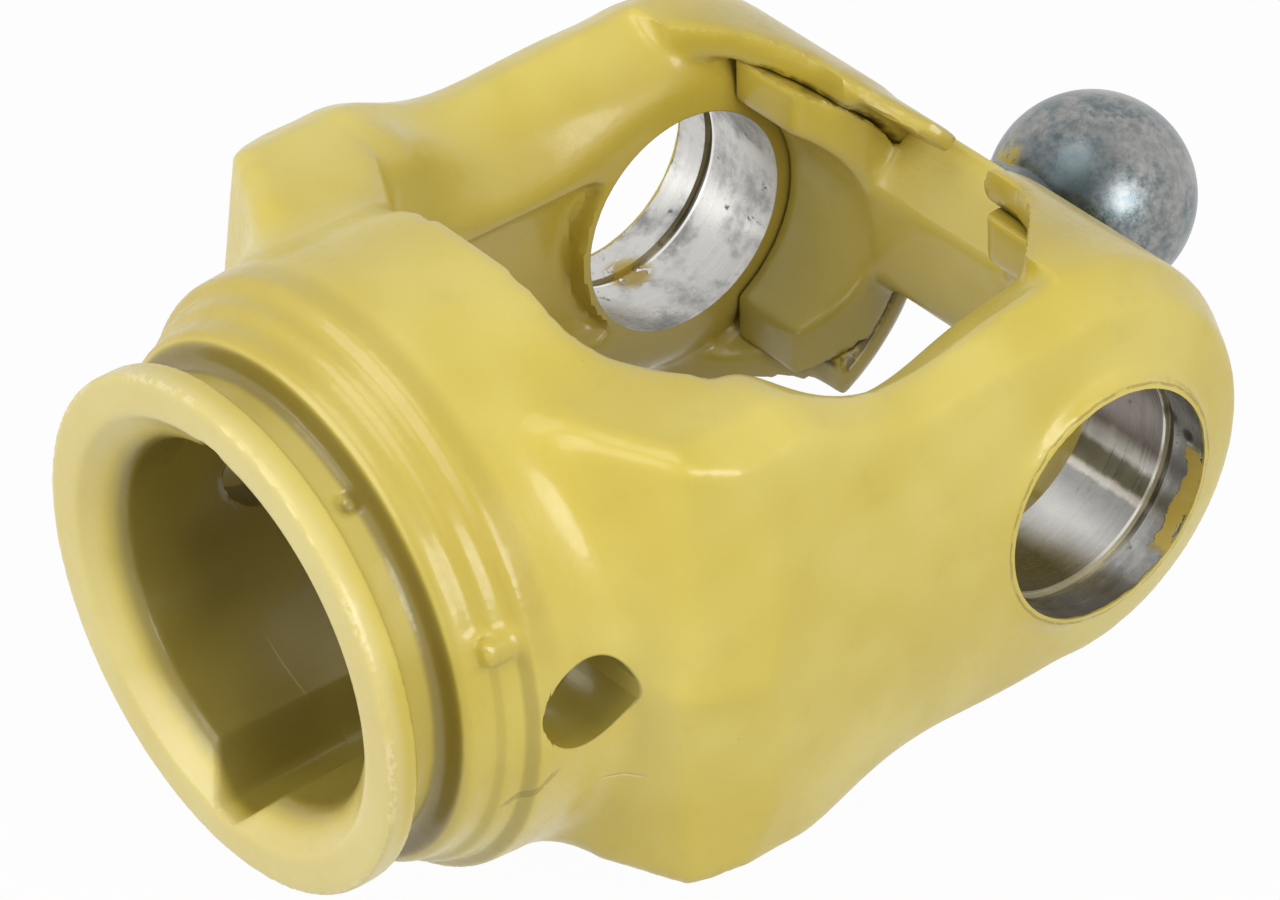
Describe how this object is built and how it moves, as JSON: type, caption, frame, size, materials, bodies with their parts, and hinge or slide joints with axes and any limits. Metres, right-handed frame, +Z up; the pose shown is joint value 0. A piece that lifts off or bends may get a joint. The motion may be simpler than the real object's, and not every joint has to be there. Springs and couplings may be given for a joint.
{
  "type": "forged shaft yoke with centring ball",
  "caption": "Forged shaft yoke: lobed tube socket with stepped collar, two bored ears, and a bridge block under curled arms that carries a centring ball stud.",
  "frame": {"origin": "point where the common axis of the two cross bores meets the shaft axis", "axes": "+X along the cross bores, +Y along the shaft axis from the tube socket to the ball, +Z up"},
  "size_m": [0.1028, 0.1581, 0.0796],
  "materials": {
    "yellow_paint": "semi-gloss mustard-yellow paint over a forging, with bare machined bores",
    "grey_steel": "mottled grey steel ball"
  },
  "bodies": {
    "root": {"yoke_fork": "yellow_paint", "bridge_block": "yellow_paint", "ball_stud": "grey_steel"}
  },
  "joints": []
}
